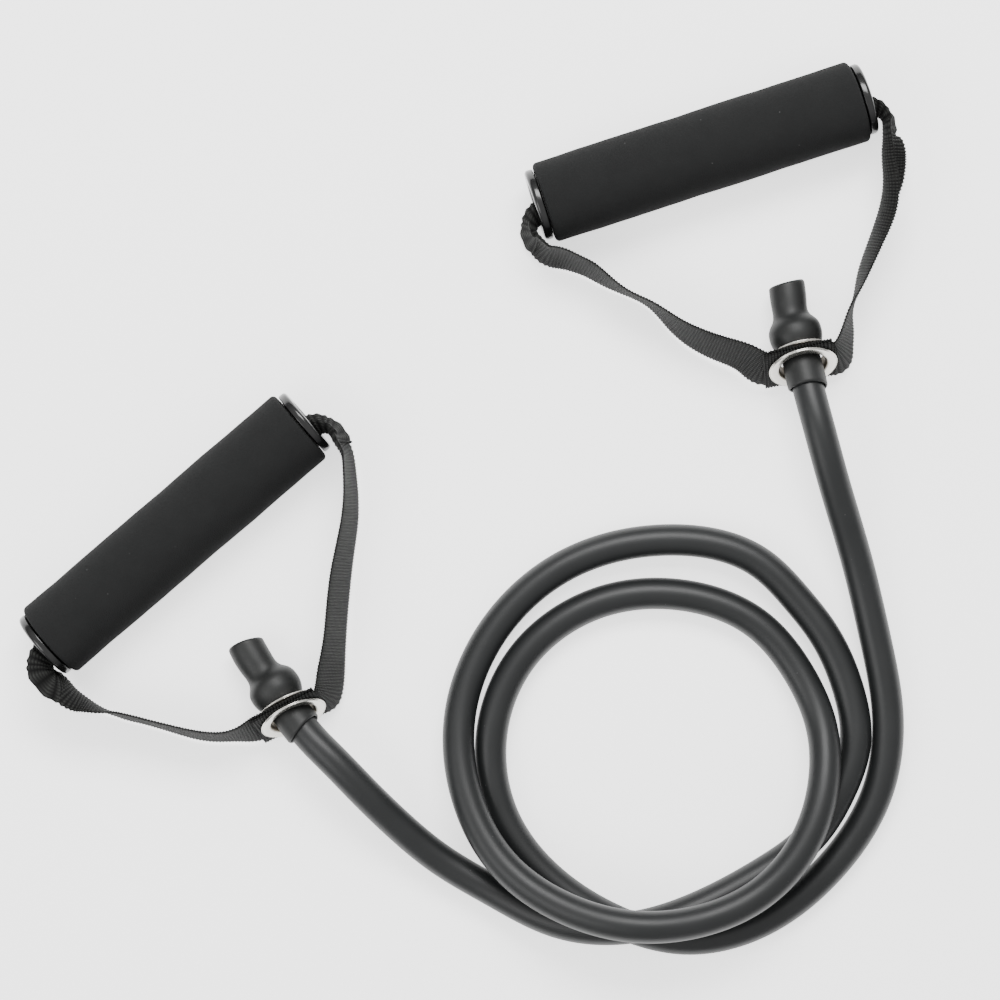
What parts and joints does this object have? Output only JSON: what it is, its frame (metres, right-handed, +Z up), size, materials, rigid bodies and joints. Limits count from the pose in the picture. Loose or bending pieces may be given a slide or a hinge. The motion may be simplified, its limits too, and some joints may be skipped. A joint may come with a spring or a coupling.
{
  "type": "resistance band",
  "caption": "Stretchy rubber exercise tube laid in a loose coil, with a riveted webbing loop and a rolling foam grip at each end.",
  "frame": {"origin": "middle of the footprint of the two handles, on the surface that the band lies on", "axes": "+Z up from that surface, +X from handle a towards handle b's side, the way that the handles spread furthest"},
  "size_m": [0.3542, 0.3574, 0.0391],
  "materials": {
    "latex": "satin",
    "sleeve_rubber": "satin",
    "foam": "matte",
    "webbing": "matte",
    "nickel": "polished",
    "cap_plastic": "gloss",
    "core_plastic": "satin",
    "ball_plastic": "satin"
  },
  "bodies": {
    "band": {"latex_tube": "latex"},
    "end_a": {"tube_end_a": "latex", "ball_plug_a": "ball_plastic", "sleeve_a": "sleeve_rubber"},
    "loop_a": {"strap_a": "webbing", "grommet_a": "nickel", "grommet_washer_a": "nickel"},
    "grip_a": {"foam_grip_a": "foam", "core_tube_a": "core_plastic", "end_cap_a_left": "cap_plastic", "end_cap_a_right": "cap_plastic"},
    "end_b": {"tube_end_b": "latex", "ball_plug_b": "ball_plastic", "sleeve_b": "sleeve_rubber"},
    "loop_b": {"strap_b": "webbing", "grommet_b": "nickel", "grommet_washer_b": "nickel"},
    "grip_b": {"foam_grip_b": "foam", "core_tube_b": "core_plastic", "end_cap_b_left": "cap_plastic", "end_cap_b_right": "cap_plastic"}
  },
  "joints": [
    {"name": "stretch_a", "type": "slide", "parent": "band", "child": "end_a", "axis": [-0.6293, 0.7771, 0], "range_m": [0, 0.6], "stiffness_N_per_m": 220, "deforming": ["latex_tube"]},
    {"name": "loop_a_swivel", "type": "hinge", "parent": "end_a", "child": "loop_a", "pos_m": [-0.06804, -0.1242, 0.0145], "axis": [0.4045, -0.8077, 0.4289], "continuous": true},
    {"name": "grip_a_spin", "type": "hinge", "parent": "loop_a", "child": "grip_a", "pos_m": [-0.1146, -0.0519, 0.01644], "axis": [0.7593, 0.6508, 0], "continuous": true},
    {"name": "stretch_b", "type": "slide", "parent": "band", "child": "end_b", "axis": [-0.2096, 0.9778, 0], "range_m": [0, 0.6], "stiffness_N_per_m": 220, "deforming": ["latex_tube"]},
    {"name": "loop_b_swivel", "type": "hinge", "parent": "end_b", "child": "loop_b", "pos_m": [0.13643, 0.0163, 0.0145], "axis": [0.1697, -0.8492, 0.5], "continuous": true},
    {"name": "grip_b_spin", "type": "hinge", "parent": "loop_b", "child": "grip_b", "pos_m": [0.0959, 0.1006, 0.01644], "axis": [0.9511, 0.309, 0], "continuous": true}
  ]
}
